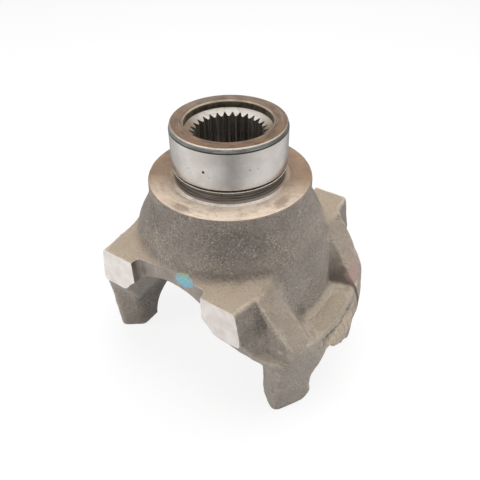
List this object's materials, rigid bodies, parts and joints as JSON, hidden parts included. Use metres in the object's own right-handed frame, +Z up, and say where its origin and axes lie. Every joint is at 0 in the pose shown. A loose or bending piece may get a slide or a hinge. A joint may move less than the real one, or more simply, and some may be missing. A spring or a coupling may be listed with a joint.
{
  "type": "driveshaft end yoke",
  "caption": "Half-round end yoke: a splined hub with a ground seal track on a forged bell with two ears, each with a half-round cup seat and two tapped prongs for a bearing strap.",
  "frame": {"origin": "the joint centre, where the axis of the bearing cups crosses the hub's axis; the four prong ends lie in its horizontal plane", "axes": "+Z up along the hub's axis, from the prongs to the hub's top face; +X along the axis of the bearing cups, towards one ear; +Y across the swing gap"},
  "size_m": [0.1926, 0.1464, 0.18],
  "materials": {
    "forged_steel": "as forged, oiled grey-brown, machined faces bright"
  },
  "bodies": {
    "root": {"end_yoke": "forged_steel"}
  },
  "joints": []
}
